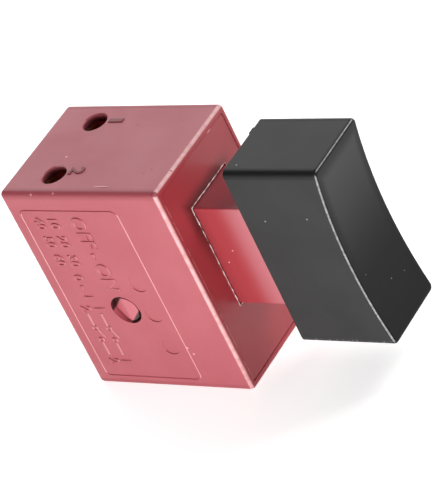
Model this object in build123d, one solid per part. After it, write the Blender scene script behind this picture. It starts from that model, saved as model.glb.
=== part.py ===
from build123d import *
import os

# Momentary trigger switch with two poles, as built into the grip of a power tool.
# Millimetres. The origin is the middle of the case's bottom face. +Z is up, the case's
# open end and the trigger point to +X, and the marked broad side looks to -Y.

# Case: one moulded cup, open towards the trigger
case_length = 24.5
case_width = 17.6
case_height = 32.0
side_wall = 0.8
end_wall = 0.95
back_wall = 1.2
case_edge_radius = 0.7
rim_edge_radius = 0.5
case_inside_radius = 0.3

# Wire holes in the two end walls, one for each pole
wire_hole_radius = 1.67
wire_hole_from_back = 6.75
wire_hole_lead_in = 0.15

# Round snap holes in the two broad walls
snap_hole_radius = 2.15
snap_from_back = 10.75
snap_height = 13.05

# Raised line round the marked panel, and the sunk pin marks beside it
panel_from_back = 1.85
panel_length = 15.3
panel_bottom = 1.55
panel_height = 27.6
panel_corner_radius = 0.9
panel_line_width = 0.34
panel_line_crest = 0.16
panel_line_height = 0.09
pin_mark_radius = 1.3
pin_mark_depth = 0.12
pin_mark_from_back = 14.8
pin_mark_heights = (7.1, 12.5, 17.5)

# Contact carrier: the insert that holds the fixed parts and closes the mouth
carrier_gap = 0.1
plate_recess = 0.08
plate_thickness = 1.5
cheek_thickness = 0.9
partition_thickness = 0.6
chamber_width = 3.7
seat_wall = 1.0
chamber_wall = 0.8
guide_gap = 0.12
snap_lug_radius = 1.8
snap_lug_sunk = 0.12
snap_lug_low_edge = 0.1

# Fixed brass strips, and the contact tips welded to them and to the moving strips
strip_thickness = 0.7
strip_side_gap = 0.1
strip_foot_length = 1.6
tip_length = 2.8
tip_width = 2.4
tip_height = 1.0
tip_bevel = 0.4
contact_half_span = 5.0

# Push-in wire clamps, bent from spring strip
clamp_thickness = 0.35
clamp_bend_radius = 0.7
clamp_side_gap = 0.15
clamp_leg_gap = 0.05
clamp_tip_gap = 0.1
clamp_drop = 3.6
clamp_hole_gap = 0.6

# Travel of the trigger, and what is left of it once the contacts meet
travel = 6.5
overtravel = 2.6
touch_gap = 0.03
stop_gap = 0.15

# Moving contact strips
bridge_thickness = 0.6
bridge_width = 3.0
bridge_end_margin = 0.1
bridge_seat_gap = 0.02
bridge_end_clearance = 0.3

# Contact springs
contact_spring_length = 6.0
contact_spring_radius = 1.5
contact_spring_wire = 0.4
contact_spring_turns = 4
spring_seat_gap = 0.02
spring_core_gap = 0.15

# Plunger: the slider that carries the moving contacts and the trigger. Its front box and
# the trigger stand a little off the middle, away from the marked face.
plunger_width = 8.4
plunger_height = 15.3
plunger_centre_height = 18.0
plunger_offset = 0.3
plunger_edge_radius = 0.25
plunger_wall = 1.3
plunger_core_floor = 1.5
flange_thickness = 1.5
flange_lip = 1.2
flange_gap = 0.05
web_gap = 0.19
yoke_bar = 1.3
yoke_half_height = 2.4
yoke_overhang = 1.2
bridge_pin_radius = 0.5
bridge_pin_gap = 0.12
bridge_pin_spare = 0.4
front_spigot_length = 1.0

# Return spring, in the plunger's bore
bore_wall = 0.55
bore_clearance = 0.15
bore_floor = 5.2
return_spring_wire = 0.5
return_spring_turns = 6
spigot_length = 1.5

# Trigger: a hollow cap with a concave finger face
trigger_gap = 7.9
trigger_width = 10.76
trigger_bottom = 5.28
trigger_height = 26.92
trigger_top_depth = 13.45
trigger_bottom_depth = 13.7
finger_hollow = 1.3
trigger_end_wall = 1.5
trigger_front_wall = 1.7
trigger_side_radius = 0.8
trigger_front_radius = 0.45
trigger_inside_radius = 0.3
trigger_fit_gap = 0.08
trigger_rib = 1.0
trigger_rib_setback = 2.3
trigger_seat_gap = 0.3
gate_nib_depth = 0.2
gate_nib_width = 1.1
gate_nib_height = 0.35
gate_nib_offset = 2.7

# Catches that hold the trigger on the plunger
catch_height = 0.6
catch_length = 2.0
catch_width = 3.0
catch_from_skirt = 5.0
catch_gap = 0.15

# Limits of the case and of the room inside it
back_x = -case_length / 2
mouth_x = case_length / 2
inner_back_x = back_x + back_wall
inner_half_width = case_width / 2 - side_wall
inner_bottom = end_wall
inner_top = case_height - end_wall
middle_height = case_height / 2

# Places along X that follow from the wire holes and the carrier
wire_hole_x = back_x + wire_hole_from_back
strip_front_x = wire_hole_x - wire_hole_radius
strip_back_x = strip_front_x - strip_thickness
seat_back_x = strip_back_x - seat_wall
clamp_leg_x = wire_hole_x + wire_hole_radius + clamp_hole_gap
chamber_front_x = clamp_leg_x + clamp_thickness + clamp_leg_gap
plate_front_x = mouth_x - plate_recess
plate_back_x = plate_front_x - plate_thickness

# Places across Y, from the case's wall inwards
cheek_outer_y = inner_half_width - carrier_gap
cheek_inner_y = cheek_outer_y - cheek_thickness
pole_y = cheek_inner_y - chamber_width / 2
partition_outer_y = cheek_inner_y - chamber_width
partition_inner_y = partition_outer_y - partition_thickness
web_half_width = partition_inner_y - web_gap

# Places up Z, measured from the middle between the two ends
bridge_half_length = contact_half_span + tip_length / 2 + bridge_end_margin
stop_rise = bridge_half_length + bridge_end_clearance
chamber_rise = stop_rise + chamber_wall
carrier_rise = middle_height - end_wall - carrier_gap
strip_end_rise = contact_half_span - tip_length / 2 - bridge_end_margin

# Moving contacts at rest
fixed_face_x = strip_front_x + tip_height
contact_gap = travel - overtravel + touch_gap
bridge_back_x = fixed_face_x + contact_gap + tip_height
bridge_front_x = bridge_back_x + bridge_thickness
yoke_face_x = bridge_back_x - bridge_seat_gap
spring_wall_x = bridge_front_x + contact_spring_length

# Plunger and springs at rest
flange_front_x = plate_back_x - flange_gap
flange_back_x = flange_front_x - flange_thickness
web_back_x = inner_back_x + travel + stop_gap
bore_radius = web_half_width - bore_wall
return_spring_radius = bore_radius - bore_clearance
plunger_top = plunger_centre_height + plunger_height / 2
plunger_bottom = plunger_centre_height - plunger_height / 2
plunger_half_width = plunger_width / 2

# Trigger at rest
skirt_x = mouth_x + trigger_gap
trigger_top = trigger_bottom + trigger_height
trigger_half_width = trigger_width / 2
socket_half_width = plunger_half_width + trigger_fit_gap
finger_face_x = skirt_x + (trigger_top_depth + trigger_bottom_depth) / 2 - finger_hollow
cap_floor_x = finger_face_x - trigger_front_wall
plunger_front_x = cap_floor_x - trigger_seat_gap

poles = {"1": 1, "2": -1}
ends = {"in": 1, "out": -1}


def block(x_from, x_to, y_from, y_to, z_from, z_to):
    """A block between its limits on each axis."""
    centre = ((x_from + x_to) / 2, (y_from + y_to) / 2, (z_from + z_to) / 2)
    size = (abs(x_to - x_from), abs(y_to - y_from), abs(z_to - z_from))
    return Pos(*centre) * Box(*size)


def rod_along_x(radius, x_from, x_to, y, z):
    """A round bar along X between two places."""
    middle = Pos((x_from + x_to) / 2, y, z)
    return middle * Rot(0, 90, 0) * Cylinder(radius, abs(x_to - x_from))


def rod_along_y(radius, y_from, y_to, x, z):
    """A round bar along Y between two places."""
    middle = Pos(x, (y_from + y_to) / 2, z)
    return middle * Rot(90, 0, 0) * Cylinder(radius, abs(y_to - y_from))


def coil_along_x(outer_radius, wire, turns, x_from, x_to, y, z):
    """A coil spring along X that just fills the room between two places, of four-sided wire."""
    axis_start = Vector(x_from + wire / 2, y, z)
    rise = x_to - x_from - wire
    path = Helix(rise / turns, rise, outer_radius - wire / 2, center=axis_start, direction=(1, 0, 0))
    start = path @ 0
    across = Plane(origin=start, x_dir=start - axis_start, z_dir=path % 0)
    section = across * RegularPolygon(wire / 2, 4)
    return sweep(section, path=path, is_frenet=True)


def wire_hole(y, end):
    """The cutter for one wire hole: a round hole with a lead-in at the outer face."""
    outer_z = middle_height + end * middle_height
    hole = Cylinder(wire_hole_radius, 3 * end_wall)
    wide = wire_hole_radius + wire_hole_lead_in
    lead_in = Pos(0, 0, -end * wire_hole_lead_in / 2) * Cone(
        wide if end < 0 else wire_hole_radius,
        wire_hole_radius if end < 0 else wide,
        wire_hole_lead_in,
    )
    return Pos(wire_hole_x, y, outer_z) * (hole + lead_in)


def panel_line():
    """The raised line round the marked panel: a bead with sloped flanks along its edge."""
    centre_x = back_x + panel_from_back + panel_length / 2
    centre_z = panel_bottom + panel_height / 2
    face = Plane(origin=(centre_x, -case_width / 2, centre_z), x_dir=(1, 0, 0), z_dir=(0, -1, 0))
    border = face * RectangleRounded(panel_length, panel_height, panel_corner_radius)
    path = border.face().outer_wire()
    root = panel_line_width / 2
    crest = panel_line_crest / 2
    bead = make_face(
        Polyline(
            (-panel_line_height, -root),
            (0, -root),
            (panel_line_height, -crest),
            (panel_line_height, crest),
            (0, root),
            (-panel_line_height, root),
            close=True,
        )
    )
    section = Plane(origin=path @ 0, x_dir=(0, -1, 0), z_dir=path % 0) * bead
    return sweep(section, path=path)


def make_case():
    """The moulded cup with its holes, marks and the seat of the return spring."""
    shell = block(back_x, mouth_x, -case_width / 2, case_width / 2, 0, case_height)
    back_edges = shell.faces().sort_by(Axis.X)[0].edges()
    long_edges = shell.edges().filter_by(Axis.X)
    shell = fillet(long_edges + back_edges, case_edge_radius)
    rim = shell.faces().sort_by(Axis.X)[-1].edges()
    shell = fillet(rim, rim_edge_radius)

    room = block(
        inner_back_x, mouth_x + side_wall, -inner_half_width, inner_half_width, inner_bottom, inner_top
    )
    shell -= fillet(room.edges().filter_by(Axis.X), case_inside_radius)

    for side in poles.values():
        for end in ends.values():
            shell -= wire_hole(side * pole_y, end)
        wall_y = side * case_width / 2
        shell -= rod_along_y(
            snap_hole_radius, wall_y - side * 2 * side_wall, wall_y + side, back_x + snap_from_back, snap_height
        )

    shell += panel_line()
    for height in pin_mark_heights:
        shell -= rod_along_y(
            pin_mark_radius,
            -case_width / 2 - side_wall,
            -case_width / 2 + pin_mark_depth,
            back_x + pin_mark_from_back,
            height,
        )

    spigot_radius = return_spring_radius - return_spring_wire - spring_core_gap
    shell += rod_along_x(
        spigot_radius, inner_back_x - back_wall / 2, inner_back_x + spigot_length, 0, plunger_centre_height
    )
    return shell


def snap_lug(side):
    """A round lug on a cheek: low where it enters first, and steep where it catches."""
    top_y = case_width / 2 - snap_lug_sunk
    centre_x = back_x + snap_from_back
    lug = rod_along_y(snap_lug_radius, side * cheek_inner_y, side * top_y, centre_x, snap_height)
    low_y = cheek_outer_y + snap_lug_low_edge
    ramp = Plane.XY * make_face(
        Polyline(
            (centre_x - 2 * snap_lug_radius, side * low_y),
            (centre_x - snap_lug_radius, side * low_y),
            (centre_x, side * top_y),
            (centre_x, side * (top_y + side_wall)),
            (centre_x - 2 * snap_lug_radius, side * (top_y + side_wall)),
            close=True,
        )
    )
    cutter = Pos(0, 0, snap_height - snap_lug_radius) * extrude(ramp, 2 * snap_lug_radius, dir=(0, 0, 1))
    return lug - cutter


def chamber(side, end):
    """The walls of one wire chamber: seat behind the strip, stop, front wall and partition."""
    z_stop = middle_height + end * stop_rise
    z_floor = middle_height + end * chamber_rise
    z_tip = middle_height + end * strip_end_rise
    z_open = middle_height + end * carrier_rise
    z_foot = z_open - end * (strip_thickness + clamp_tip_gap)
    y_in = side * partition_inner_y
    y_out = side * (cheek_inner_y + cheek_thickness / 2)
    front_x = chamber_front_x + chamber_wall
    walls = block(seat_back_x, strip_back_x, y_in, y_out, z_tip, z_foot)
    walls += block(strip_front_x + clamp_leg_gap, front_x, y_in, y_out, z_stop, z_floor)
    walls += block(chamber_front_x, front_x, y_in, y_out, z_stop, z_open)
    walls += block(seat_back_x, front_x, y_in, side * partition_outer_y, z_stop, z_open)
    return walls


def make_contact_carrier():
    """The insert: end plate with the plunger's opening, cheeks, snap lugs and chambers."""
    low_z = inner_bottom + carrier_gap
    high_z = inner_top - carrier_gap
    plate = block(plate_back_x, plate_front_x, -cheek_outer_y, cheek_outer_y, low_z, high_z)
    plate = fillet(plate.edges().filter_by(Axis.X), case_inside_radius)
    opening_y = plunger_half_width + guide_gap
    plate -= block(
        plate_back_x - plate_thickness,
        mouth_x,
        plunger_offset - opening_y,
        plunger_offset + opening_y,
        plunger_bottom - guide_gap,
        plunger_top + guide_gap,
    )
    carrier = plate
    for side in poles.values():
        cheek_back_x = inner_back_x + case_inside_radius
        cheek = block(
            cheek_back_x,
            plate_back_x + plate_thickness / 2,
            side * cheek_inner_y,
            side * cheek_outer_y,
            low_z + case_inside_radius,
            high_z - case_inside_radius,
        )
        carrier += cheek
        carrier += snap_lug(side)
        for end in ends.values():
            carrier += chamber(side, end)
    return carrier


def contact_tip(root_x, face_x, side, end):
    """A contact tip cut from profile tape: welded on by its wide face, bevelled to the narrow one."""
    centre_z = middle_height + end * contact_half_span
    root = tip_length / 2
    face = root - tip_bevel
    profile = Plane.XZ * make_face(
        Polyline(
            (root_x, centre_z - root),
            (face_x, centre_z - face),
            (face_x, centre_z + face),
            (root_x, centre_z + root),
            close=True,
        )
    )
    return Pos(0, side * pole_y + tip_width / 2, 0) * extrude(profile, tip_width)


def make_terminal(side, end):
    """A fixed brass strip: it lies on the seat wall and its foot hooks over the wall's end."""
    half_width = chamber_width / 2 - strip_side_gap
    y_from = side * pole_y - half_width
    y_to = side * pole_y + half_width
    z_tip = middle_height + end * strip_end_rise
    z_top = middle_height + end * (carrier_rise - clamp_tip_gap / 2)
    foot_z = z_top - end * strip_thickness
    strip = block(strip_back_x, strip_front_x, y_from, y_to, z_tip, z_top)
    return strip + block(strip_back_x - strip_foot_length, strip_back_x, y_from, y_to, foot_z, z_top)


def make_fixed_contact(side, end):
    """The tip of a fixed strip, which faces the trigger."""
    return contact_tip(strip_front_x, fixed_face_x, side, end)


def make_wire_clamp(side, end):
    """A leaf spring: its leg stands on the front wall and its tongue slopes to the strip."""
    half = clamp_thickness / 2
    leg_x = clamp_leg_x + half
    foot_z = middle_height + end * (chamber_rise + clamp_leg_gap)
    bend_z = middle_height + end * (carrier_rise - half - clamp_tip_gap)
    tip_x = strip_front_x + clamp_tip_gap + half
    tip_z = bend_z - end * clamp_drop
    path = FilletPolyline(
        (leg_x, foot_z), (leg_x, bend_z), (tip_x, tip_z), radius=clamp_bend_radius
    )
    width = chamber_width - 2 * clamp_side_gap
    leaf = Plane.XZ * trace(path, clamp_thickness)
    return Pos(0, side * pole_y + width / 2, 0) * extrude(leaf, width)


def make_contact_bridge(side):
    """A moving contact strip, with a hole for the plunger's pin."""
    y = side * pole_y
    strip = block(
        bridge_back_x,
        bridge_front_x,
        y - bridge_width / 2,
        y + bridge_width / 2,
        middle_height - bridge_half_length,
        middle_height + bridge_half_length,
    )
    return strip - rod_along_x(
        bridge_pin_radius + bridge_pin_gap, bridge_back_x, bridge_front_x, y, middle_height
    )


def make_bridge_contacts(side):
    """The two tips of a moving strip, which face the fixed ones."""
    face_x = bridge_back_x - tip_height
    return Compound(children=[contact_tip(bridge_back_x, face_x, side, end) for end in ends.values()])


def yoke(side):
    """What carries one moving strip: a bar with a pin behind it, and a wall for its spring."""
    y = side * pole_y
    y_in = side * web_half_width / 2
    y_out = y + side * yoke_overhang
    z_low = middle_height - yoke_half_height
    z_high = middle_height + yoke_half_height
    carrier = block(yoke_face_x - yoke_bar, yoke_face_x, y_in, y_out, z_low, z_high)
    carrier += block(spring_wall_x, spring_wall_x + yoke_bar, y_in, y_out, z_low, z_high)
    pin_end_x = bridge_front_x + overtravel + bridge_pin_spare
    carrier += rod_along_x(bridge_pin_radius, yoke_face_x - yoke_bar / 2, pin_end_x, y, middle_height)
    spigot_radius = contact_spring_radius - contact_spring_wire - spring_core_gap
    spigot_back_x = spring_wall_x - front_spigot_length
    carrier += rod_along_x(spigot_radius, spigot_back_x, spring_wall_x + yoke_bar / 2, y, middle_height)
    return carrier


def catch(up):
    """The wedge on the plunger's top or bottom that a window in the trigger's rib takes."""
    root_z = plunger_centre_height + up * plunger_height / 2
    crest_z = root_z + up * catch_height
    steep_x = skirt_x + catch_from_skirt
    profile = Plane.XZ * make_face(
        Polyline(
            (steep_x, root_z - up * catch_height),
            (steep_x, crest_z),
            (steep_x + catch_length, root_z),
            (steep_x + catch_length, root_z - up * catch_height),
            close=True,
        )
    )
    return Pos(0, catch_width / 2, 0) * extrude(profile, catch_width)


def make_plunger():
    """The slider: box in front, stop flange behind the end plate, web and two yokes."""
    front = block(
        flange_back_x,
        plunger_front_x,
        -plunger_half_width,
        plunger_half_width,
        plunger_bottom,
        plunger_top,
    )
    front = fillet(front.edges().filter_by(Axis.X), plunger_edge_radius)
    front -= block(
        flange_front_x + plunger_core_floor,
        plunger_front_x + plunger_wall,
        plunger_wall - plunger_half_width,
        plunger_half_width - plunger_wall,
        plunger_bottom + plunger_wall,
        plunger_top - plunger_wall,
    )
    flange_half_width = plunger_half_width + flange_lip
    front += block(
        flange_back_x,
        flange_front_x,
        -flange_half_width,
        flange_half_width,
        plunger_bottom - flange_lip,
        plunger_top + flange_lip,
    )
    for up in (1, -1):
        front += catch(up)
    web = block(web_back_x, flange_front_x, -web_half_width, web_half_width, plunger_bottom, plunger_top)
    slider = Pos(0, plunger_offset, 0) * front + web
    for side in poles.values():
        slider += yoke(side)
    slider -= rod_along_x(bore_radius, web_back_x - travel, bore_floor, 0, plunger_centre_height)
    return slider


def finger_arc(setback, z_low, z_high):
    """The concave curve of the finger face, or the same curve set back for the inside."""
    top_point = (skirt_x + trigger_top_depth - setback, z_high)
    bottom_point = (skirt_x + trigger_bottom_depth - setback, z_low)
    return ThreePointArc(bottom_point, (finger_face_x - setback, (z_low + z_high) / 2), top_point)


def cap_shape(x_back, half_width, z_low, z_high, setback):
    """The trigger's outline seen from the side, drawn out across its width."""
    arc = finger_arc(setback, z_low, z_high)
    rest = Polyline(arc @ 1, (x_back, z_high), (x_back, z_low), arc @ 0)
    outline = Plane.XZ * make_face(Curve() + [arc, rest])
    return Pos(0, half_width, 0) * extrude(outline, 2 * half_width)


def trigger_rib_pair(up):
    """A rib beside the plunger with a window for its catch, and a fin that backs it."""
    near_z = plunger_centre_height + up * (plunger_height / 2 + trigger_fit_gap)
    far_z = near_z + up * trigger_rib
    wall_z = trigger_top if up > 0 else trigger_bottom
    fin_end_z = wall_z - up * trigger_end_wall / 2
    rib_back_x = skirt_x + trigger_rib_setback
    rib_front_x = cap_floor_x + trigger_front_wall / 2
    half_width = (socket_half_width + trigger_half_width) / 2
    rib = block(rib_back_x, rib_front_x, -half_width, half_width, near_z, far_z)
    rib += block(rib_back_x, rib_front_x, -trigger_rib / 2, trigger_rib / 2, near_z, fin_end_z)
    window_back_x = skirt_x + catch_from_skirt - catch_gap
    window_front_x = window_back_x + catch_length + 2 * catch_gap
    window_half_width = catch_width / 2 + catch_gap
    window_far_z = near_z + up * (catch_height + catch_gap)
    window = block(window_back_x, window_front_x, -window_half_width, window_half_width, near_z, window_far_z)
    return rib - window


def make_trigger():
    """The hollow finger cap with its ribs, and the moulding nib on its upper back edge."""
    cap = cap_shape(skirt_x, trigger_half_width, trigger_bottom, trigger_top, 0)
    cap = fillet(cap.edges().filter_by(Axis.X), trigger_side_radius)
    front_edges = cap.edges().filter_by(lambda edge: edge.center().X > cap_floor_x + trigger_front_wall)
    cap = fillet(front_edges, trigger_front_radius)
    cavity = cap_shape(
        skirt_x - trigger_gap / 2,
        socket_half_width,
        trigger_bottom + trigger_end_wall,
        trigger_top - trigger_end_wall,
        trigger_front_wall,
    )
    cap -= fillet(cavity.edges().filter_by(Axis.X), trigger_inside_radius)
    for up in (1, -1):
        cap += trigger_rib_pair(up)
    cap += block(
        skirt_x - gate_nib_depth,
        skirt_x + gate_nib_height,
        gate_nib_offset - gate_nib_width / 2,
        gate_nib_offset + gate_nib_width / 2,
        trigger_top - gate_nib_height,
        trigger_top,
    )
    return Pos(0, plunger_offset, 0) * cap


def make_return_spring():
    """The coil spring between the case's back wall and the floor of the plunger's bore."""
    return coil_along_x(
        return_spring_radius,
        return_spring_wire,
        return_spring_turns,
        inner_back_x + spring_seat_gap,
        bore_floor - spring_seat_gap,
        0,
        plunger_centre_height,
    )


def make_contact_spring(side):
    """The coil spring that presses one moving strip against its fixed contacts."""
    return coil_along_x(
        contact_spring_radius,
        contact_spring_wire,
        contact_spring_turns,
        bridge_front_x + spring_seat_gap,
        spring_wall_x - spring_seat_gap,
        side * pole_y,
        middle_height,
    )


def make_parts():
    """Every separate piece of the switch, by name."""
    parts = {
        "case": make_case(),
        "contact_carrier": make_contact_carrier(),
        "plunger": make_plunger(),
        "trigger": make_trigger(),
        "return_spring": make_return_spring(),
    }
    for pole, side in poles.items():
        parts[f"contact_bridge_{pole}"] = make_contact_bridge(side)
        parts[f"bridge_contacts_{pole}"] = make_bridge_contacts(side)
        parts[f"contact_spring_{pole}"] = make_contact_spring(side)
        for end_name, end in ends.items():
            parts[f"terminal_{pole}_{end_name}"] = make_terminal(side, end)
            parts[f"fixed_contact_{pole}_{end_name}"] = make_fixed_contact(side, end)
            parts[f"wire_clamp_{pole}_{end_name}"] = make_wire_clamp(side, end)
    return parts


os.makedirs("parts", exist_ok=True)
for name, part in make_parts().items():
    part.label = name
    export_step(part, f"parts/{name}.step")
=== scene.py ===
import math

import bmesh
import bpy
from mathutils import Matrix, Vector


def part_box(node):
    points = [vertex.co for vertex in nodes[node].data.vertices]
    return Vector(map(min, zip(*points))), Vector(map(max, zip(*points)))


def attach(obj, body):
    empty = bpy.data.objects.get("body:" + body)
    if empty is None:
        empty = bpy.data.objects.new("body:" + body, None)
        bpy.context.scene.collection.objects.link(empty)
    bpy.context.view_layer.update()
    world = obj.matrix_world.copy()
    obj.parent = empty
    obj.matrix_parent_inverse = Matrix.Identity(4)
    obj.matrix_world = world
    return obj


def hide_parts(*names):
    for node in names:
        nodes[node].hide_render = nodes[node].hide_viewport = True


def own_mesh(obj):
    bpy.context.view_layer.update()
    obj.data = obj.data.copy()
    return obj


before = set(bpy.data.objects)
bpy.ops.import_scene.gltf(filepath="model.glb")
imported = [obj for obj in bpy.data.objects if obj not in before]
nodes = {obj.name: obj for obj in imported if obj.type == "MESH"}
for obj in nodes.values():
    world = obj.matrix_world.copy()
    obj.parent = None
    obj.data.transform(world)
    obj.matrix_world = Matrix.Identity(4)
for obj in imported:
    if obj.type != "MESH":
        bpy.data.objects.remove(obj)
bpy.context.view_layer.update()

# A two-pole trigger switch for a hand-held power tool, standing on its lower end.
# Metres. The case's open end and the trigger point to +X, and the marked face to -Y.
mm = 0.001

# Case: one moulded cup of dark pink plastic, satin from the mould's spark finish.
# Its rim was rubbed when the flash was trimmed, and the rounded edge there is painted paler, partly
# for that wear and partly as a painted highlight.
case_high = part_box("case")[1]
case_top = case_high.z
mouth_x = case_high.x
half_width = case_high.y
marked_y = -half_width
rim_radius = 0.5 * mm
rim_fade = (rim_radius, 0.4 * rim_radius)
snap_x = -1.5 * mm
snap_z = 13.05 * mm
snap_radius = 2.15 * mm
wire_hole_x = -5.5 * mm
wire_hole_y = 5.15 * mm
wire_hole_radius = 1.67 * mm
pink = (0.50, 0.113, 0.138, 1)
# Pale pink is dust, scuffs, chips and flash, and also painted highlight on the rim, the lead-ins
# and upright flanks.
pale_pink_and_highlight = (0.95, 0.52, 0.52, 1)
# Deep pink is random tone, nicks and dark spots, and also painted shade on level flanks and on the
# plunger's top and bottom.
deep_pink_and_shade = (0.30, 0.035, 0.050, 1)
red_pink = (0.47, 0.050, 0.062, 1)
shaded_pink = (0.40, 0.074, 0.092, 1)
top_figure_shade = (0.20, 0.022, 0.032, 1)
# Lug pink is painted light on the snap lugs and the walls of the snap holes.
lug_painted_light = (0.60, 0.150, 0.180, 1)
# Soot is dark dirt, and also painted shade in the bores, the snap crescents and round the plunger's
# opening.
soot_and_shade = (0.05, 0.010, 0.010, 1)


class Value:
    """A socket of a node tree. Arithmetic on it adds Math nodes."""

    def __init__(self, graph, socket):
        self.graph = graph
        self.socket = socket

    def math(self, operation, *values):
        """A Math node's result from these values."""
        return self.graph.node("ShaderNodeMath", {"operation": operation}, values)

    def __add__(self, other):
        return self.math("ADD", self, other)

    def __radd__(self, other):
        return self.math("ADD", other, self)

    def __sub__(self, other):
        return self.math("SUBTRACT", self, other)

    def __rsub__(self, other):
        return self.math("SUBTRACT", other, self)

    def __mul__(self, other):
        return self.math("MULTIPLY", self, other)

    def __rmul__(self, other):
        return self.math("MULTIPLY", other, self)

    def __abs__(self):
        return self.math("ABSOLUTE", self)

    def over(self, other):
        """The larger of two values."""
        return self.math("MAXIMUM", self, other)

    def rise(self, low, high):
        """0 at low, 1 at high and a smooth step between. High may be the lower number."""
        settings = {"interpolation_type": "SMOOTHSTEP"}
        return self.graph.node("ShaderNodeMapRange", settings, (self, low, high))


class Graph:
    """A node tree that is written as expressions."""

    def __init__(self, tree):
        self.tree = tree

    def node(self, kind, settings=(), values=(), output=0):
        """Adds a node: its settings first, then the values or links of its sockets."""
        made = self.tree.nodes.new(kind)
        for name, value in dict(settings).items():
            setattr(made, name, value)
        for key, value in values.items() if isinstance(values, dict) else enumerate(values):
            if isinstance(value, Value):
                self.tree.links.new(value.socket, made.inputs[key])
            else:
                made.inputs[key].default_value = value
        return Value(self, made.outputs[output]) if made.outputs else None

    def parts(self, vector):
        """The X, Y and Z of a vector."""
        first = self.node("ShaderNodeSeparateXYZ", values=[vector])
        return [Value(self, socket) for socket in first.socket.node.outputs]


class Finish(Graph):
    """A material, with the nodes that give its colour, roughness and relief."""

    def __init__(self, name):
        self.material = bpy.data.materials.new(name)
        self.material.use_nodes = True
        super().__init__(self.material.node_tree)
        self.tree.nodes.clear()
        self.place = self.node("ShaderNodeTexCoord", output="Object")
        self.x, self.y, self.z = self.parts(self.place)

    def mix(self, share, first, second):
        """A colour between two, by a value from 0 to 1."""
        return self.node("ShaderNodeMix", {"data_type": "RGBA"}, {0: share, 6: first, 7: second}, 2)

    def stretched(self, x, y, z):
        """The place on the piece with each axis scaled, for grain that runs one way."""
        return self.node("ShaderNodeMapping", values={0: self.place, 3: (x, y, z)})

    def noise(self, size, detail=2.0, place=None):
        """Cloudy noise around 0.5 whose features are about this size."""
        values = {"Vector": place or self.place, "Scale": 1 / size, "Detail": detail}
        return self.node("ShaderNodeTexNoise", values=values)

    def specks(self, spacing, radius, share):
        """1 on small round specks: one in some of the cells of this spacing, by their share."""
        values = {"Vector": self.place, "Scale": 1 / spacing}
        from_middle = self.node("ShaderNodeTexVoronoi", values=values)
        cell = self.node("ShaderNodeTexVoronoi", values=values, output=1)
        chance = self.node("ShaderNodeSeparateColor", values=[cell])
        near = from_middle.rise(radius / spacing, 0.6 * radius / spacing)
        return near * chance.rise(1 - share, 1.001 - share)

    def length(self, vector):
        """How long a vector is."""
        return self.node("ShaderNodeVectorMath", {"operation": "LENGTH"}, (vector,), "Value")

    def marks(self, places):
        """1 on any of these marks and 0 off them. Each has a middle and a reach on each axis."""
        whole = None
        for middle, reach in places:
            moved = self.node(
                "ShaderNodeVectorMath", {"operation": "SUBTRACT"}, (self.place, middle)
            )
            scaled = self.node("ShaderNodeVectorMath", {"operation": "DIVIDE"}, (moved, reach))
            mark = self.length(scaled).rise(1.0, 0.5)
            whole = whole.over(mark) if whole else mark
        return whole

    def spots(self, middles, radius):
        """1 on round spots of this radius and 0 off them."""
        return self.marks([(middle, (radius, radius, radius)) for middle in middles])

    def relief(self, height, depth):
        """The normal of a surface on which height 1 stands this far out."""
        values = {"Strength": 1.0, "Distance": depth, "Height": height}
        return self.node("ShaderNodeBump", values=values)

    def surface(self, **sockets):
        """Ends the tree in a Principled shader and gives the material."""
        values = {name.replace("_", " "): value for name, value in sockets.items()}
        shader = self.node("ShaderNodeBsdfPrincipled", values=values)
        self.node("ShaderNodeOutputMaterial", values=[shader])
        return self.material


def pink_plastic(name, base, roughness, grain_size, grain_depth, wear_and_light):
    """Pink moulded plastic: faint flow clouds, fine grain, dark and pale dust, and its wear and
    painted light and shade.
    """
    finish = Finish(name)
    clouds = finish.noise(7 * mm, 3.0).rise(0.25, 0.75)
    fine = finish.noise(0.9 * mm, 4.0)
    dirt = finish.specks(3.7 * mm, 0.07 * mm, 0.05)
    dust = finish.specks(2.6 * mm, 0.06 * mm, 0.08)
    grain = finish.noise(grain_size, 3.0)
    colour = finish.mix(0.16 * clouds + 0.10 * fine, base, deep_pink_and_shade)
    colour = finish.mix(0.6 * dirt, colour, soot_and_shade)
    colour = wear_and_light(finish, colour)
    colour = finish.mix(0.6 * dust, colour, pale_pink_and_highlight)
    return finish.surface(
        Base_Color=colour,
        Roughness=roughness + 0.08 * grain + 0.08 * clouds,
        IOR=1.5,
        Normal=finish.relief(grain + 1.5 * dust, grain_depth),
    )


def distance(finish, *offsets):
    """How far a place is from a line that crosses these offsets at nought."""
    return finish.length(finish.node("ShaderNodeCombineXYZ", values=[*offsets, 0.0]))


def in_wall(finish):
    """1 in the two broad walls and on the snap lugs that stand in their holes."""
    return abs(finish.y).rise(7.7 * mm, 7.8 * mm)


def snap_shade(finish):
    """Mask of the two crescents of painted shade of a snap hole, on the wall and on the lug that
    fills it.
    """
    slanted = abs((finish.z - snap_z) - (finish.x - snap_x))
    return slanted.rise(0.84 * snap_radius, snap_radius)


def wire_holes(finish, colour, from_end):
    """Painted shade in the bores, and a painted highlight on one side of the lead-in round each."""
    off_x = finish.x - wire_hole_x
    off_y = abs(finish.y) - wire_hole_y
    from_hole = distance(finish, off_x, off_y)
    bore = from_hole.rise(2.2 * wire_hole_radius, 2.0 * wire_hole_radius)
    bore = bore * from_end.rise(0.1 * mm, 0.9 * mm)
    colour = finish.mix(0.9 * bore, colour, soot_and_shade)
    lead_in_highlight = from_hole.rise(wire_hole_radius + 0.22 * mm, wire_hole_radius + 0.12 * mm)
    lead_in_highlight = lead_in_highlight * from_end.rise(0.2 * mm, 0.1 * mm)
    lit_side = (off_x - off_y).rise(0.4 * mm, 1.6 * mm)
    return finish.mix(0.5 * lead_in_highlight * lit_side, colour, pale_pink_and_highlight)


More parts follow.
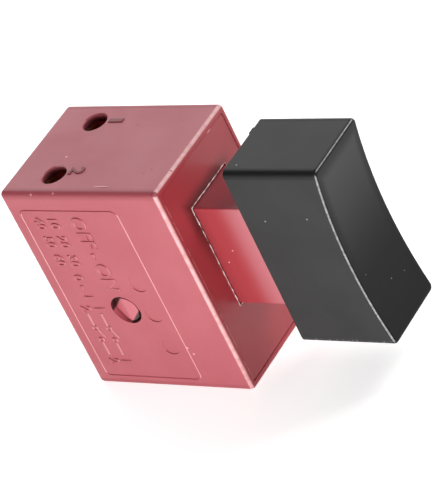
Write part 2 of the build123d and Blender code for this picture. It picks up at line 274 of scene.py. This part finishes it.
def marked_relief_shading(finish, colour, from_end, from_snap):
    """What stands proud of the marked face: a painted highlight on its upright flanks and painted
    shade on its level ones.
    """
    panel_front = 8.9 * mm
    raised = abs(finish.y - marked_y).rise(0.20 * mm, 0.16 * mm)
    raised = raised * finish.x.rise(panel_front + 0.1 * mm, panel_front - 0.1 * mm)
    raised = raised * from_end.rise(1.2 * mm, 1.4 * mm)
    raised = raised * from_snap.rise(snap_radius, snap_radius + 0.1 * mm)
    facing_x, _, facing_z = finish.parts(finish.node("ShaderNodeNewGeometry", output="Normal"))
    upright_highlight = (abs(facing_x) - abs(facing_z)).rise(0.1, 0.4)
    level_shade = (abs(facing_z) - abs(facing_x)).rise(0.1, 0.4)
    colour = finish.mix(0.60 * raised * upright_highlight, colour, pale_pink_and_highlight)
    return finish.mix(0.75 * raised * level_shade, colour, deep_pink_and_shade)


def snap_holes(finish, colour, from_snap):
    """The walls of the snap holes, painted paler as painted light, with their two crescents of
    painted shade.
    """
    wall = from_snap.rise(snap_radius + 0.06 * mm, snap_radius + 0.01 * mm) * in_wall(finish)
    return finish.mix(wall, colour, finish.mix(snap_shade(finish), lug_painted_light, soot_and_shade))


def rim_wear_and_highlight(finish, colour, from_side, from_end):
    """The bare end face of the walls, and the rounded edge round it painted pale in patches: partly
    rubbed wear, partly a painted highlight.
    """
    end_face = finish.x.rise(mouth_x - 0.05 * mm, mouth_x - 0.02 * mm)
    colour = finish.mix(end_face, colour, red_pink)
    forward = finish.x.rise(mouth_x - 1.05 * rim_radius, mouth_x - 0.5 * rim_radius)
    outward = from_side.rise(*rim_fade).over(from_end.rise(*rim_fade))
    patchy = finish.noise(1.0 * mm, 5.0).rise(0.25, 0.60)
    return finish.mix(forward * outward * (0.55 + 0.45 * patchy), colour, pale_pink_and_highlight)


case_nicks = [
    ((3.8 * mm, -7.6 * mm, case_top), (1.1 * mm, 0.14 * mm, 0.3 * mm)),
    ((mouth_x, -4.25 * mm, case_top), (0.5 * mm, 0.16 * mm, 0.4 * mm)),
    ((12.0 * mm, -8.5 * mm, case_top - 0.25 * mm), (0.6 * mm, 0.5 * mm, 0.45 * mm)),
]
case_scuff = [((3.3 * mm, -7.35 * mm, case_top), (1.5 * mm, 0.10 * mm, 0.3 * mm))]
case_pale_spots = [
    (-5.7 * mm, -1.7 * mm, case_top),
    (-7.1 * mm, -8.7 * mm, 31.7 * mm),
    (-3.6 * mm, -8.6 * mm, 31.9 * mm),
    (5.7 * mm, marked_y, 6.0 * mm),
    (5.2 * mm, marked_y, 7.0 * mm),
]
case_dark_spots = [
    (1.7 * mm, 4.5 * mm, case_top),
    (8.3 * mm, -4.8 * mm, case_top),
    (9.1 * mm, -4.1 * mm, case_top),
]


def case_wear_and_light(finish, colour):
    """The case's paint: painted shade on the long edges, bores, snap crescents, level flanks and
    top figures; painted highlight on the lead-ins, upright flanks and rubbed rim; paler snap-hole
    walls as painted light; and its nicks and spots.
    """
    from_side = half_width - abs(finish.y)
    from_end = case_top / 2 - abs(finish.z - case_top / 2)
    from_snap = distance(finish, finish.x - snap_x, finish.z - snap_z)
    # Painted shade: the long rounded edges are painted darker.
    edge_shade = from_side.over(from_end).rise(1.15 * mm, 0.75 * mm)
    colour = finish.mix(edge_shade, colour, shaded_pink)
    colour = wire_holes(finish, colour, from_end)
    colour = marked_relief_shading(finish, colour, from_end, from_snap)
    colour = snap_holes(finish, colour, from_snap)
    colour = rim_wear_and_highlight(finish, colour, from_side, from_end)
    colour = finish.mix(0.85 * finish.marks(case_nicks), colour, deep_pink_and_shade)
    pale_marks = finish.marks(case_scuff).over(finish.spots(case_pale_spots, 0.22 * mm))
    colour = finish.mix(0.6 * pale_marks, colour, pale_pink_and_highlight)
    colour = finish.mix(0.6 * finish.spots(case_dark_spots, 0.20 * mm), colour, deep_pink_and_shade)
    # Painted shade: the raised figures on the top are painted dark.
    top_figure = finish.z.rise(case_top + 0.02 * mm, case_top + 0.04 * mm)
    return finish.mix(0.9 * top_figure, colour, top_figure_shade)


def paint(piece, material):
    """Gives a piece its one material."""
    piece.data.materials.clear()
    piece.data.materials.append(material)


case_pink = pink_plastic("satin_pink", pink, 0.38, 0.16 * mm, 0.006 * mm, case_wear_and_light)
paint(nodes["case"], case_pink)

# Figures on the case: plain figures cut in the mould, so that they stand a little proud.
# They are of one piece with the case, and are the only words on it: none is a name.
figure_rise = 0.13 * mm
figure_sunk = 0.04 * mm
figure_bevel = 0.05 * mm
marked_boldness = 0.02 * mm
marked_face = Matrix(((0, 1, 0, 0), (0, 0, -1, marked_y), (-1, 0, 0, 0), (0, 0, 0, 1)))
top_face = Matrix(((0, 1, 0, 0), (-1, 0, 0, 0), (0, 0, 1, case_top), (0, 0, 0, 1)))


def joined(name, meshes, material, body):
    """One piece made of several meshes, riding on a body."""
    whole = bmesh.new()
    for mesh in meshes:
        whole.from_mesh(mesh)
    bmesh.ops.remove_doubles(whole, verts=whole.verts, dist=0.001 * mm)
    bmesh.ops.recalc_face_normals(whole, faces=whole.faces)
    mesh = bpy.data.meshes.new(name)
    whole.to_mesh(mesh)
    whole.free()
    piece = bpy.data.objects.new(name, mesh)
    bpy.context.scene.collection.objects.link(piece)
    paint(piece, material)
    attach(piece, body)
    return piece


def finished_mesh(holder):
    """The mesh that a curve or a modifier gives. The object that held it goes."""
    bpy.context.view_layer.update()
    seen = holder.evaluated_get(bpy.context.evaluated_depsgraph_get())
    mesh = bpy.data.meshes.new_from_object(seen)
    bpy.data.objects.remove(holder)
    return mesh


def raised_figures(words, length, height, boldness):
    """A mesh of raised figures in the XY plane, from the origin, of this length and height."""
    line = bpy.data.curves.new(words, "FONT")
    line.body = words
    line.size = height
    line.offset = boldness
    line.extrude = (figure_rise + figure_sunk) / 2 - figure_bevel
    line.bevel_depth = figure_bevel
    line.bevel_resolution = 1
    line.resolution_u = 4
    holder = bpy.data.objects.new(words, line)
    bpy.context.scene.collection.objects.link(holder)
    mesh = finished_mesh(holder)
    places = [vertex.co.copy() for vertex in mesh.vertices]
    low = Vector(min(place[axis] for place in places) for axis in range(3))
    high = Vector(max(place[axis] for place in places) for axis in range(3))
    fit = Matrix.Diagonal((length / (high.x - low.x), height / (high.y - low.y), 1, 1))
    lift = Matrix.Translation((0, 0, (figure_rise - figure_sunk) / 2 - (high.z + low.z) / 2))
    mesh.transform(lift @ fit @ Matrix.Translation((-low.x, -low.y, 0)))
    return mesh


def on_face(mesh, face, across, along):
    """Lays a flat mesh on a face. Across goes to +X, and along goes down, or to -Y on top."""
    mesh.transform(face @ Matrix.Translation((along, across, 0)))
    return mesh


# Words, their length and height, and their start across and along the face, in mm.
marked_lines = [
    ("OFF - ON", 12.0, 2.1, -2.90, -28.2),
    ("10  20  30", 7.9, 1.5, -6.45, -27.9),
    ("40  50  60", 8.0, 1.5, -8.65, -28.1),
    ("0 - 1", 4.0, 1.5, -7.20, -18.8),
    ("1", 0.4, 1.7, -6.50, -13.3),
    ("2", 1.0, 1.6, -8.65, -13.5),
    ("1", 0.4, 1.7, -6.70, -4.4),
    ("2", 1.0, 1.6, -8.60, -4.6),
]
top_lines = [("1", 0.7, 2.2, -3.25, -5.7), ("2", 1.4, 2.2, -3.35, 3.75)]
figures = [
    on_face(
        raised_figures(words, length * mm, height * mm, boldness), face, across * mm, along * mm
    )
    for lines, face, boldness in (
        (marked_lines, marked_face, marked_boldness),
        (top_lines, top_face, 0.0),
    )
    for words, length, height, across, along in lines
]
joined("case_figures", figures, case_pink, "case_body")

# Circuit on the case: each pole's two leads and its open contact, drawn in raised lines.
# A rounded bead follows the lines, as the engraver's cutter left them in the mould.
bead_radius = 0.15 * mm
bead_squat = 0.80
circuit_top = 12.9 * mm
pole_places = (-5.9 * mm, -8.1 * mm)
lead_start = 0.6 * mm
lead_end = 7.6 * mm
first_contact = 3.1 * mm
second_contact = first_contact + 2.0 * mm
ring_radius = 0.33 * mm
ring_sides = 16
lever_reach = 1.6 * mm
lever_low = 0.25 * mm
lever_high = 0.85 * mm


class Rule(Graph):
    """A Geometry Nodes tree with named sizes, which makes a piece from a source mesh."""

    def __init__(self, name, sizes):
        super().__init__(bpy.data.node_groups.new(name, "GeometryNodeTree"))
        self.sizes = sizes
        sockets = self.tree.interface
        sockets.new_socket("Geometry", in_out="INPUT", socket_type="NodeSocketGeometry")
        sockets.new_socket("Geometry", in_out="OUTPUT", socket_type="NodeSocketGeometry")
        made = {
            label: sockets.new_socket(label, in_out="INPUT", socket_type="NodeSocketFloat")
            for label in sizes
        }
        self.keys = {label: socket.identifier for label, socket in made.items()}
        self.source = self.node("NodeGroupInput", output="Geometry")

    def size(self, label):
        """One of the rule's named sizes."""
        return self.node("NodeGroupInput", output=label)

    def end(self, geometry, material):
        """Closes the tree: plain geometry with one material."""
        whole = self.node("GeometryNodeRealizeInstances", values=[geometry])
        painted = self.node(
            "GeometryNodeSetMaterial", values={"Geometry": whole, "Material": material}
        )
        self.node("NodeGroupOutput", values=[painted])

    def mesh_from(self, points, edges):
        """The mesh that the rule makes from points and the edges between them."""
        path = bpy.data.meshes.new(self.tree.name)
        path.from_pydata(points, edges, [])
        holder = bpy.data.objects.new(self.tree.name, path)
        bpy.context.scene.collection.objects.link(holder)
        modifier = holder.modifiers.new(self.tree.name, "NODES")
        modifier.node_group = self.tree
        for label, value in self.sizes.items():
            modifier[self.keys[label]] = value
        return finished_mesh(holder)

    def circle(self, radius, sides):
        """A ring to draw along a curve."""
        values = {"Resolution": sides, "Radius": radius}
        return self.node("GeometryNodeCurvePrimitiveCircle", values=values)

    def swept(self, curve, profile, **more):
        """A profile drawn along a curve, closed at both ends."""
        values = {"Curve": curve, "Profile Curve": profile, "Fill Caps": True, **more}
        return self.node("GeometryNodeCurveToMesh", values=values)


def bead_rule(name, material, radius, squat):
    """A rounded bead along every edge, flattened against the face it stands on."""
    rule = Rule(name, {"Radius": radius, "Squat": squat})
    path = rule.node("GeometryNodeMeshToCurve", values=[rule.source])
    bead = rule.swept(path, rule.circle(rule.size("Radius"), 8))
    low = rule.node("ShaderNodeCombineXYZ", values=[1.0, 1.0, rule.size("Squat")])
    flat = rule.node("GeometryNodeTransform", values={"Geometry": bead, "Scale": low})
    rule.end(flat, material)
    return rule


def circuit_row(across):
    """Points and edges of one pole: lead, contact ring, open lever, contact ring, lead."""
    points = [
        (lead_start, across, 0),
        (first_contact - ring_radius, across, 0),
        (first_contact + ring_radius, across + lever_low, 0),
        (first_contact + lever_reach, across + lever_high, 0),
        (second_contact + ring_radius, across, 0),
        (lead_end, across, 0),
    ]
    edges = [(0, 1), (2, 3), (4, 5)]
    for centre in (first_contact, second_contact):
        start = len(points)
        for side in range(ring_sides):
            turn = 2 * math.pi * side / ring_sides
            along = centre + ring_radius * math.cos(turn)
            points.append((along, across + ring_radius * math.sin(turn), 0))
            edges.append((start + side, start + (side + 1) % ring_sides))
    return points, edges


circuit = bead_rule("circuit_bead", case_pink, bead_radius, bead_squat)
circuit_rows = [
    on_face(circuit.mesh_from(*circuit_row(across)), marked_face, 0, -circuit_top)
    for across in pole_places
]
joined("case_circuit", circuit_rows, case_pink, "case_body")

# Contact carrier: the insert with the glossy end plate, of the same plastic, which holds
# the brass strips. Its plate has a thin ragged lip of flash round the plunger's opening.
plate_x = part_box("contact_carrier")[1].x
plunger_half_width = 4.2 * mm
plunger_offset = 0.3 * mm
plunger_top = 25.65 * mm
plunger_bottom = 10.35 * mm
plunger_middle = (plunger_top + plunger_bottom) / 2
plunger_half_height = (plunger_top - plunger_bottom) / 2
guide_gap = 0.12 * mm
lip_from_opening = 0.09 * mm
lip_radius = 0.085 * mm
lip_ragged = 0.15 * mm
lip_step = 0.14 * mm
torn_pink = (1.0, 0.84, 0.81, 1)
plate_chip = [((plate_x, 4.5 * mm, 30.95 * mm), (0.3 * mm, 0.55 * mm, 0.16 * mm))]
plate_notch = [((plate_x, 8.0 * mm, 31.2 * mm), (0.3 * mm, 0.4 * mm, 0.3 * mm))]


def plate_wear_and_light(finish, colour):
    """Snap lugs painted paler as painted light, painted shade in their crescents and round the
    opening, a pale parting line, a chip and a notch.
    """
    from_snap = distance(finish, finish.x - snap_x, finish.z - snap_z)
    lug = in_wall(finish) * from_snap.rise(snap_radius + 0.2 * mm, snap_radius + 0.1 * mm)
    colour = finish.mix(lug, colour, lug_painted_light)
    behind_plate = finish.x.rise(4.0 * mm, 2.0 * mm)
    colour = finish.mix(in_wall(finish) * snap_shade(finish) * behind_plate, colour, soot_and_shade)
    beside_opening = abs(finish.y - plunger_offset) - plunger_half_width
    above_opening = abs(finish.z - plunger_middle) - plunger_half_height
    # Painted shade round the plunger's opening, strongest on its upper and nearer part.
    opening_shade = beside_opening.over(above_opening).rise(2.3 * mm, 0.2 * mm)
    opening_shade = opening_shade * finish.z.rise(13 * mm, 24 * mm) * finish.y.rise(7.5 * mm, 2.0 * mm)
    colour = finish.mix(0.75 * opening_shade, colour, soot_and_shade)
    parting = finish.y.rise(-7.78 * mm, -7.84 * mm) * finish.y.rise(-8.0 * mm, -7.9 * mm)
    parting = parting * finish.noise(1.2 * mm, 3.0).rise(0.30, 0.60)
    parting = parting * finish.x.rise(plate_x - 0.2 * mm, plate_x)
    colour = finish.mix(0.55 * parting, colour, pale_pink_and_highlight)
    colour = finish.mix(0.8 * finish.marks(plate_chip), colour, pale_pink_and_highlight)
    return finish.mix(finish.marks(plate_notch), colour, soot_and_shade)


carrier_pink = pink_plastic("glossy_pink", red_pink, 0.26, 0.3 * mm, 0.0015 * mm, plate_wear_and_light)
paint(nodes["contact_carrier"], carrier_pink)


def lip_rule(material, radius, ragged, step):
    """A ragged lip along the edges: its thickness and its line wander, and it has gaps."""
    rule = Rule("flash_lip", {"Radius": radius, "Ragged": ragged, "Step": step})
    place = rule.node("GeometryNodeInputPosition")
    path = rule.node("GeometryNodeMeshToCurve", values=[rule.source])
    values = {"Curve": path, "Length": rule.size("Step")}
    fine = rule.node("GeometryNodeResampleCurve", {"mode": "LENGTH"}, values)
    values = {"Vector": place, "Scale": 1 / (1.1 * mm), "Detail": 3.0}
    drift = rule.node("ShaderNodeTexNoise", values=values, output=1)
    values = (drift, (0.5, 0.5, 0.5))
    centred = rule.node("ShaderNodeVectorMath", {"operation": "SUBTRACT"}, values)
    values = {0: centred, "Scale": rule.size("Ragged")}
    offset = rule.node("ShaderNodeVectorMath", {"operation": "SCALE"}, values)
    moved = rule.node("GeometryNodeSetPosition", values={"Geometry": fine, "Offset": offset})
    values = {"Vector": place, "Scale": 1 / (0.8 * mm), "Detail": 2.0}
    chips = rule.node("ShaderNodeTexNoise", values=values)
    width = rule.size("Radius") * (0.28 + 0.92 * chips.rise(0.38, 0.68))
    rule.end(rule.swept(moved, rule.circle(1.0, 5), Scale=width), material)
    return rule


def torn_finish():
    """Torn flash: the same plastic, stretched thin and pale."""
    finish = Finish("torn_flash")
    thin = finish.noise(0.5 * mm, 3.0).rise(0.2, 0.5)
    return finish.surface(
        Base_Color=finish.mix(thin, pale_pink_and_highlight, torn_pink),
        Roughness=0.45,
        Normal=finish.relief(finish.noise(0.1 * mm, 2.0), 0.01 * mm),
    )


lip_y = plunger_half_width + guide_gap + lip_from_opening
lip_low = plunger_bottom - guide_gap - lip_from_opening
lip_high = plunger_top + guide_gap + lip_from_opening
lip_corners = [
    (plate_x, plunger_offset + side * lip_y, height)
    for side, height in ((-1, lip_low), (1, lip_low), (1, lip_high), (-1, lip_high))
]
torn_flash = torn_finish()
lip = lip_rule(torn_flash, lip_radius, lip_ragged, lip_step)
lip_mesh = lip.mesh_from(lip_corners, [(0, 1), (1, 2), (2, 3), (3, 0)])
joined("plate_lip", [lip_mesh], torn_flash, "case_body")

# Brass strips, their clamps and the silver tips: stamped and bent from strip metal.
# The strips are fixed in the carrier, and each clamp's tongue bites on a pushed-in lead.
along_y = (1.0, 0.06, 1.0)
along_z = (1.0, 1.0, 0.06)
all_round = (1.0, 1.0, 1.0)


def strip_metal(name, colour, tarnish, roughness, grain):
    """Rolled or drawn metal: fine lines along the rolling, and cloudy tarnish."""
    finish = Finish(name)
    lines = finish.noise(0.12 * mm, 3.0, finish.stretched(*grain))
    clouds = finish.noise(1.8 * mm, 4.0).rise(0.35, 0.7)
    return finish.surface(
        Base_Color=finish.mix(0.45 * clouds + 0.12 * lines, colour, tarnish),
        Metallic=1.0,
        Roughness=roughness + 0.15 * lines + 0.10 * clouds,
        Normal=finish.relief(lines, 0.003 * mm),
    )


brass = strip_metal(
    "stamped_brass", (0.78, 0.57, 0.27, 1), (0.42, 0.27, 0.11, 1), 0.28, along_z
)
copper = strip_metal(
    "stamped_copper", (0.86, 0.50, 0.33, 1), (0.42, 0.20, 0.12, 1), 0.26, along_z
)
silver = strip_metal("silver_tip", (0.88, 0.86, 0.82, 1), (0.50, 0.47, 0.42, 1), 0.22, along_y)
clamp_steel = strip_metal(
    "clamp_steel", (0.66, 0.65, 0.63, 1), (0.38, 0.36, 0.33, 1), 0.25, along_z
)
metals = {
    "terminal_": brass,
    "fixed_contact_": silver,
    "wire_clamp_": clamp_steel,
    "contact_bridge_": copper,
    "bridge_contacts_": silver,
}
for name, node in nodes.items():
    for start, metal in metals.items():
        if name.startswith(start):
            paint(node, metal)

# Springs: coiled from round steel wire, with closed ends that sit flat on their seats.
# The return spring stands in the plunger's bore, and a smaller one presses each bridge.
end_closing = 0.12
wire_steel = strip_metal(
    "spring_wire", (0.60, 0.60, 0.59, 1), (0.30, 0.29, 0.28, 1), 0.24, all_round
)


def coil_rule(name, material, sizes):
    """A coil that rises from its seat, of round wire, with a tight pitch at both ends."""
    rule = Rule(name, sizes)
    line = rule.node(
        "GeometryNodeCurveSpiral",
        values={
            "Resolution": 28,
            "Rotations": rule.size("Turns"),
            "Start Radius": rule.size("Radius"),
            "End Radius": rule.size("Radius"),
            "Height": 0.0,
        },
    )
    share = rule.node("GeometryNodeSplineParameter")
    wave = share.math("SINE", share * (2 * math.pi))
    rise = rule.size("Length") * (share - end_closing * wave)
    offset = rule.node("ShaderNodeCombineXYZ", values=[0.0, 0.0, rise])
    coil = rule.node("GeometryNodeSetPosition", values={"Geometry": line, "Offset": offset})
    rule.end(rule.swept(coil, rule.circle(rule.size("Wire"), 10)), material)
    return rule


def coil_spring(name, node, turns, wire, body):
    """Puts a round-wire coil where a CAD spring is, riding on a body, and hides the CAD spring."""
    low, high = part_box(node)
    middle = (low + high) / 2
    sizes = {
        "Turns": turns,
        "Radius": (high.y - low.y) / 2 - wire / 2,
        "Length": high.x - low.x - wire,
        "Wire": wire / 2,
    }
    mesh = coil_rule(name, wire_steel, sizes).mesh_from([(0, 0, 0)], [])
    start = Vector((low.x + wire / 2, middle.y, middle.z))
    mesh.transform(Matrix.Translation(start) @ Matrix.Rotation(math.pi / 2, 4, "Y"))
    spring = joined(name, [mesh], wire_steel, body)
    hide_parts(node)
    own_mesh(spring)


coil_spring(
    "return_coil",
    "return_spring",
    9.0,
    0.42 * mm,
    "case_body",
)
for pole in "12":
    coil_spring(
        f"contact_coil_{pole}",
        f"contact_spring_{pole}",
        5.0,
        0.36 * mm,
        "slider",
    )

# Plunger: the slider between the case and the trigger, of the same plastic as the case,
# but bright from a polished mould, because it runs in the plate's opening.
slider_pink = (0.42, 0.054, 0.064, 1)
sheen_pink = (0.56, 0.165, 0.195, 1)
plunger_near_y = plunger_offset - plunger_half_width
plunger_spots = [
    (13.6 * mm, plunger_near_y, 17.1 * mm),
    (15.0 * mm, plunger_near_y, 19.0 * mm),
]


def plunger_marks_and_light(finish, colour):
    """A painted sheen pales the front of the sides, painted shade deepens the top and bottom, and
    two spots are pale.
    """
    from_middle = abs(finish.z - plunger_middle)
    level_shade = from_middle.rise(plunger_half_height - 0.1 * mm, plunger_half_height)
    painted_sheen = finish.x.rise(14.5 * mm, 20.0 * mm) * (1 - level_shade)
    colour = finish.mix(0.9 * painted_sheen, colour, sheen_pink)
    colour = finish.mix(0.5 * level_shade, colour, deep_pink_and_shade)
    return finish.mix(0.7 * finish.spots(plunger_spots, 0.16 * mm), colour, pale_pink_and_highlight)


plunger_pink = pink_plastic(
    "bright_pink", slider_pink, 0.15, 0.3 * mm, 0.0015 * mm, plunger_marks_and_light
)
paint(nodes["plunger"], plunger_pink)

# Trigger: a hollow cap of black plastic, satin, snapped on to the plunger. Fingers and
# handling polished its front edges, which carry thin grey lines of painted highlight, and dust
# clings to it.
trigger_low, trigger_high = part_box("trigger")
trigger_middle = (trigger_low + trigger_high) / 2
trigger_half = (trigger_high - trigger_low) / 2
finger_face_x = 32.425 * mm
finger_top_x = 33.600 * mm
finger_bottom_x = 33.850 * mm
highlight_fade = (0.25 * mm, 0.17 * mm)
black = (0.030, 0.030, 0.030, 1)
deep_black = (0.001, 0.001, 0.001, 1)
edge_shade_black = (0.010, 0.010, 0.010, 1)
sheen_grey = (0.060, 0.060, 0.061, 1)
scuff_and_highlight_grey = (0.48, 0.48, 0.48, 1)
dust_grey = (0.60, 0.60, 0.60, 1)
trigger_spots = [
    (23.2 * mm, trigger_low.y, 24.8 * mm),
    (29.4 * mm, trigger_low.y, 25.2 * mm),
    (21.5 * mm, -3.5 * mm, trigger_high.z),
    (32.9 * mm, -2.9 * mm, 14.5 * mm),
    (32.8 * mm, 0.2 * mm, 11.5 * mm),
    (32.9 * mm, 2.8 * mm, 10.5 * mm),
]


def behind_finger_face(finish, upward):
    """How deep a place lies behind the concave face, an arc through its middle and two ends."""
    half_height = trigger_half.z
    above = finger_top_x - finger_face_x
    below = finger_bottom_x - finger_face_x
    centre_x = (above**2 + below**2 + 2 * half_height**2) / (2 * (above + below))
    centre_z = (above**2 + half_height**2 - 2 * centre_x * above) / (2 * half_height)
    from_centre = distance(finish, finish.x - (finger_face_x + centre_x), upward - centre_z)
    return from_centre - math.hypot(centre_x, centre_z)


def trigger_finish():
    """Satin black, with painted sheen and painted shade on the finger face, painted shade on the
    long edges, polished edges with painted highlights, and dust.
    """
    finish = Finish("satin_black")
    upward = finish.z - trigger_middle.z
    from_face = behind_finger_face(finish, upward)
    from_side = trigger_half.y - abs(finish.y - trigger_middle.y)
    from_top = trigger_high.z - finish.z
    grain = finish.noise(0.14 * mm, 3.0)

    clouds = finish.noise(6 * mm, 3.0).rise(0.3, 0.7)
    colour = finish.mix(0.2 * clouds, black, deep_black)
    # Painted shade: the long rounded edges are painted deeper black.
    edge_shade = from_side.over(from_top).rise(1.2 * mm, 0.8 * mm)
    colour = finish.mix(edge_shade, colour, edge_shade_black)

    # Painted sheen on the finger face, paler towards its top, and painted shade along its top and
    # side edges.
    face_edge_shade = from_top.rise(2.6 * mm, 0.8 * mm).over(from_side.rise(1.8 * mm, 0.5 * mm))
    face_sheen = upward.rise(-0.35 * trigger_half.z, 0.95 * trigger_half.z) * (1 - 0.75 * face_edge_shade)
    finger_face = from_face.rise(0.35 * mm, 0.15 * mm)
    colour = finish.mix(finger_face, colour, finish.mix(face_sheen, deep_black, sheen_grey))

    # Painted highlight: thin grey lines on the front edges, which are also polished and so less
    # rough.
    side_edge = from_face.over(from_side).rise(*highlight_fade)
    top_edge = from_face.over(from_top).rise(*highlight_fade)
    streaks = finish.noise(0.35 * mm, 3.0).rise(0.25, 0.65)
    polish_and_highlight = side_edge.over(top_edge) * (0.45 + 0.55 * streaks)
    colour = finish.mix(polish_and_highlight, colour, scuff_and_highlight_grey)

    scuffed = finish.z.rise(trigger_low.z + 0.9 * mm, trigger_low.z + 0.6 * mm)
    scuffed = scuffed * from_side.rise(0.4 * mm, 0.2 * mm)
    scuffed = scuffed * finish.noise(0.5 * mm, 3.0).rise(0.52, 0.66)
    colour = finish.mix(0.35 * scuffed, colour, scuff_and_highlight_grey)

    dust = finish.specks(2.2 * mm, 0.05 * mm, 0.08)
    dust = dust.over(finish.specks(4.1 * mm, 0.08 * mm, 0.08))
    dust = dust.over(finish.spots(trigger_spots, 0.14 * mm))
    colour = finish.mix(0.55 * dust, colour, dust_grey)
    height = grain + 0.5 * finish.noise(0.6 * mm, 3.0) + dust
    return finish.surface(
        Base_Color=colour,
        Roughness=0.42 + 0.12 * grain - 0.2 * polish_and_highlight,
        IOR=1.3,
        Normal=finish.relief(height, 0.005 * mm),
    )


paint(nodes["trigger"], trigger_finish())

# Studio: a pale floor under a dim sky that is pale near the horizon. Two soft lights
# stand over the far side and the back, and two before the marked face, one of them low.
floor_half = 1.5
floor_colour = (0.86, 0.86, 0.86, 1)
white = (1, 1, 1, 1)
sky_strength = 0.10
camera_lens = 219.0
camera_sensor = 36.0
camera_roll = math.radians(26.631)
camera_place = Vector((231.883, -224.312, 214.541)) * mm
aim = Vector((9.693, -0.630, 16.587)) * mm
# Each light's direction, its distance, width and height in metres, and its watts.
soft_lights = {
    "far_light": ((0.49, 0.60, 0.635), 0.50, 0.22, 0.22, 1.3),
    "back_light": ((-0.55, 0.62, 0.56), 0.55, 0.60, 0.50, 1.35),
    "front_light": ((0.15, -0.98, 0.10), 0.45, 0.40, 0.12, 1.08),
    "low_light": ((0.30, -0.94, -0.13), 0.066, 0.08, 0.012, 0.018),
}


def floor_finish():
    """Matt pale grey, which the camera and reflections see paler than its light makes it."""
    finish = Finish("pale_floor")
    seen = finish.node("ShaderNodeLightPath", output="Is Camera Ray")
    for ray in ("Is Glossy Ray", "Is Transmission Ray"):
        seen = seen.over(finish.node("ShaderNodeLightPath", output=ray))
    matt = finish.node("ShaderNodeBsdfDiffuse", values={"Color": floor_colour})
    # Painted light: the glow is stronger on the -X -Y side, where the object's shadow falls, and
    # pales that shadow.
    shadow_side = (finish.x + finish.y).rise(0.10, -0.02)
    strength = seen * (0.34 + 0.38 * shadow_side)
    glow = finish.node("ShaderNodeEmission", values={"Color": white, "Strength": strength})
    both = finish.node("ShaderNodeAddShader", values=[matt, glow])
    finish.node("ShaderNodeOutputMaterial", values=[both])
    return finish.material


corners = [(x * floor_half, y * floor_half, 0) for x, y in ((-1, -1), (1, -1), (1, 1), (-1, 1))]
floor_mesh = bpy.data.meshes.new("floor")
floor_mesh.from_pydata(corners, [], [(0, 1, 2, 3)])
floor = bpy.data.objects.new("floor", floor_mesh)
bpy.context.scene.collection.objects.link(floor)
paint(floor, floor_finish())

for name, (direction, away, width, height, watts) in soft_lights.items():
    light = bpy.data.lights.new(name, "AREA")
    light.shape = "RECTANGLE"
    light.size = width
    light.size_y = height
    light.energy = watts
    box = bpy.data.objects.new(name, light)
    box.location = aim + Vector(direction).normalized() * away
    box.rotation_euler = (aim - box.location).to_track_quat("-Z", "Y").to_euler()
    bpy.context.scene.collection.objects.link(box)

sky = bpy.data.worlds.new("sky")
sky.use_nodes = True
bpy.context.scene.world = sky
dome = Graph(sky.node_tree)
dome.tree.nodes.clear()
forward, farness, height = dome.parts(dome.node("ShaderNodeTexCoord", output="Generated"))
paleness = (0.60 * height.rise(0.30, 0.06)).over(0.4 * farness.rise(0.0, 0.6))
paleness = paleness * (1 - 0.6 * forward.rise(0.0, 0.7))
values = {"Color": white, "Strength": sky_strength + paleness}
dome.node("ShaderNodeOutputWorld", values=[dome.node("ShaderNodeBackground", values=values)])

camera_data = bpy.data.cameras.new("camera")
camera_data.sensor_width = camera_sensor
camera_data.lens = camera_lens
camera = bpy.data.objects.new("camera", camera_data)
camera.location = camera_place
toward = (aim - camera.location).to_track_quat("-Z", "Y")
camera.rotation_mode = "QUATERNION"
camera.rotation_quaternion = toward @ Matrix.Rotation(-camera_roll, 4, "Z").to_quaternion()
bpy.context.scene.collection.objects.link(camera)
bpy.context.scene.camera = camera
bpy.context.scene.view_settings.view_transform = "Standard"
